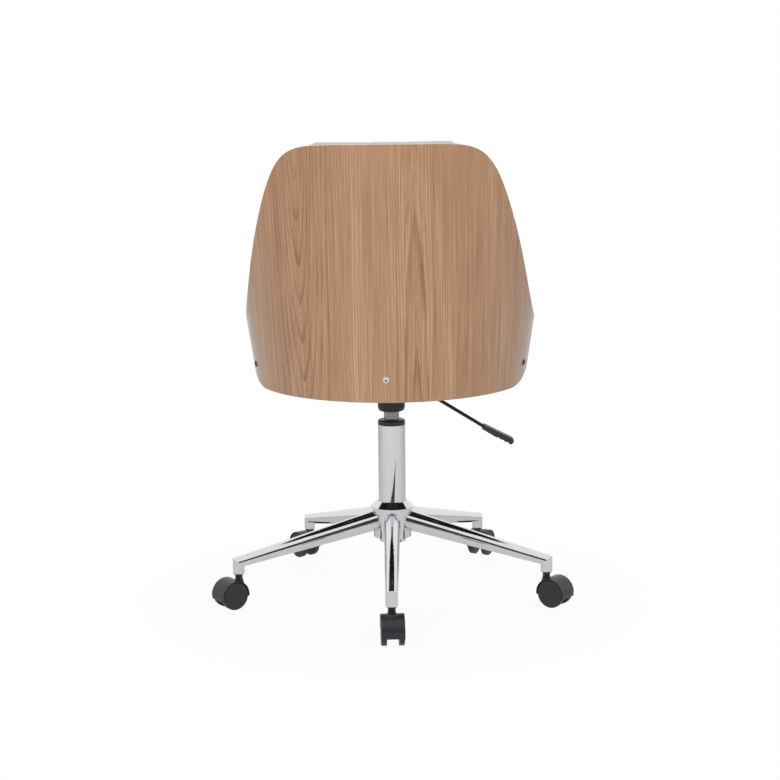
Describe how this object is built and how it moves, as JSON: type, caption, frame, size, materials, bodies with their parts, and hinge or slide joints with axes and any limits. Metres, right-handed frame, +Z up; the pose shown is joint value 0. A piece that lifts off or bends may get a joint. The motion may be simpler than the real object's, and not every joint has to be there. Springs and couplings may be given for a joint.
{
  "type": "swivel chair",
  "caption": "Swivel chair with a bent plywood bucket shell, padded seat and back, gas lift lever, and a chromed star base on twin-wheel casters.",
  "frame": {"origin": "on the floor, on the axis of the column", "axes": "+Z up along the column, the sitter faces -Y, +X is the sitter's left when facing that way"},
  "size_m": [0.6468, 0.6247, 0.8115],
  "materials": {
    "chrome": "bright plated",
    "steel": "plain",
    "grey_paint": "satin",
    "black_paint": "satin",
    "black_plastic": "fine matt",
    "white_plastic": "plain",
    "black_rubber": "plain",
    "oak_veneer": "satin lacquer",
    "plywood": "raw",
    "white_upholstery": "smooth coated cloth"
  },
  "bodies": {
    "base": {"base_hub": "chrome", "hub_sleeve": "steel", "base_arm_1": "chrome", "base_arm_2": "chrome", "base_arm_3": "chrome", "base_arm_4": "chrome", "base_arm_5": "chrome", "arm_sockets": "chrome", "stem_bushes": "black_plastic", "column_tube": "chrome", "column_bushing": "black_plastic", "bearing_race": "steel", "glide_washer": "white_plastic"},
    "piston": {"piston_rod": "steel", "piston_head": "white_plastic", "rod_clip": "steel", "thrust_washer": "steel", "rubber_buffer": "black_rubber"},
    "seat": {"gas_cylinder": "grey_paint", "rod_guide": "grey_paint", "mechanism_pan": "black_paint", "taper_socket": "steel", "mechanism_plate": "black_paint", "lever_pin": "steel", "plate_bolts": "steel", "seat_shell": "oak_veneer", "shell_screws": "steel", "cup_washers": "chrome", "seat_board": "plywood", "seat_cushion": "white_upholstery", "back_pad": "white_upholstery"},
    "lever": {"lever_rod": "black_paint", "lever_grip": "black_plastic"},
    "valve": {"valve_pin": "steel"},
    "caster_1": {"caster_hood_1": "black_plastic", "caster_stem_1": "steel", "caster_axle_1": "steel"},
    "wheel_left_1": {"caster_wheel_left_1": "black_plastic"},
    "wheel_right_1": {"caster_wheel_right_1": "black_plastic"},
    "caster_2": {"caster_hood_2": "black_plastic", "caster_stem_2": "steel", "caster_axle_2": "steel"},
    "wheel_left_2": {"caster_wheel_left_2": "black_plastic"},
    "wheel_right_2": {"caster_wheel_right_2": "black_plastic"},
    "caster_3": {"caster_hood_3": "black_plastic", "caster_stem_3": "steel", "caster_axle_3": "steel"},
    "wheel_left_3": {"caster_wheel_left_3": "black_plastic"},
    "wheel_right_3": {"caster_wheel_right_3": "black_plastic"},
    "caster_4": {"caster_hood_4": "black_plastic", "caster_stem_4": "steel", "caster_axle_4": "steel"},
    "wheel_left_4": {"caster_wheel_left_4": "black_plastic"},
    "wheel_right_4": {"caster_wheel_right_4": "black_plastic"},
    "caster_5": {"caster_hood_5": "black_plastic", "caster_stem_5": "steel", "caster_axle_5": "steel"},
    "wheel_left_5": {"caster_wheel_left_5": "black_plastic"},
    "wheel_right_5": {"caster_wheel_right_5": "black_plastic"}
  },
  "joints": [
    {"name": "seat_swivel", "type": "hinge", "parent": "base", "child": "piston", "pos_m": [0, 0, 0.1], "axis": [0, 0, 1], "continuous": true},
    {"name": "seat_height", "type": "slide", "parent": "piston", "child": "seat", "axis": [0, 0, 1], "range_m": [0, 0.1]},
    {"name": "lever_lift", "type": "hinge", "parent": "seat", "child": "lever", "pos_m": [-0.023, 0, 0.3982], "axis": [0, 1, 0], "range_deg": [0, 8], "stiffness_Nm_per_rad": 0.5, "springref_deg": -5.73},
    {"name": "valve_press", "type": "slide", "parent": "seat", "child": "valve", "axis": [0, 0, -1], "range_m": [0, 0.0038]},
    {"name": "caster_swivel_1", "type": "hinge", "parent": "base", "child": "caster_1", "pos_m": [-0.00709, 0.28991, 0.06], "axis": [0, 0, 1], "continuous": true},
    {"name": "wheel_left_spin_1", "type": "hinge", "parent": "caster_1", "child": "wheel_left_1", "pos_m": [-0.00865, 0.30784, 0.025], "axis": [0.9962, 0.0872, 0], "continuous": true},
    {"name": "wheel_right_spin_1", "type": "hinge", "parent": "caster_1", "child": "wheel_right_1", "pos_m": [-0.00865, 0.30784, 0.025], "axis": [0.9962, 0.0872, 0], "continuous": true},
    {"name": "caster_swivel_2", "type": "hinge", "parent": "base", "child": "caster_2", "pos_m": [-0.27791, 0.08285, 0.06], "axis": [0, 0, 1], "continuous": true},
    {"name": "wheel_left_spin_2", "type": "hinge", "parent": "caster_2", "child": "wheel_left_2", "pos_m": [-0.29248, 0.09343, 0.025], "axis": [0.5878, 0.809, 0], "continuous": true},
    {"name": "wheel_right_spin_2", "type": "hinge", "parent": "caster_2", "child": "wheel_right_2", "pos_m": [-0.29248, 0.09343, 0.025], "axis": [0.5878, 0.809, 0], "continuous": true},
    {"name": "caster_swivel_3", "type": "hinge", "parent": "base", "child": "caster_3", "pos_m": [-0.16467, -0.23871, 0.06], "axis": [0, 0, 1], "continuous": true},
    {"name": "wheel_left_spin_3", "type": "hinge", "parent": "caster_3", "child": "wheel_left_3", "pos_m": [-0.17256, -0.25489, 0.025], "axis": [-0.8988, 0.4384, 0], "continuous": true},
    {"name": "wheel_right_spin_3", "type": "hinge", "parent": "caster_3", "child": "wheel_right_3", "pos_m": [-0.17256, -0.25489, 0.025], "axis": [-0.8988, 0.4384, 0], "continuous": true},
    {"name": "caster_swivel_4", "type": "hinge", "parent": "base", "child": "caster_4", "pos_m": [0.17614, -0.23038, 0.06], "axis": [0, 0, 1], "continuous": true},
    {"name": "wheel_left_spin_4", "type": "hinge", "parent": "caster_4", "child": "wheel_left_4", "pos_m": [0.18818, -0.24376, 0.025], "axis": [-0.7431, -0.6691, 0], "continuous": true},
    {"name": "wheel_right_spin_4", "type": "hinge", "parent": "caster_4", "child": "wheel_right_4", "pos_m": [0.18818, -0.24376, 0.025], "axis": [-0.7431, -0.6691, 0], "continuous": true},
    {"name": "caster_swivel_5", "type": "hinge", "parent": "base", "child": "caster_5", "pos_m": [0.27353, 0.09633, 0.06], "axis": [0, 0, 1], "continuous": true},
    {"name": "wheel_left_spin_5", "type": "hinge", "parent": "caster_5", "child": "wheel_left_5", "pos_m": [0.28732, 0.1079, 0.025], "axis": [0.6428, -0.766, 0], "continuous": true},
    {"name": "wheel_right_spin_5", "type": "hinge", "parent": "caster_5", "child": "wheel_right_5", "pos_m": [0.28732, 0.1079, 0.025], "axis": [0.6428, -0.766, 0], "continuous": true}
  ],
  "couplings": [
    {"joint": "valve_press", "follows": "lever_lift", "m_per_rad": 0.026}
  ]
}
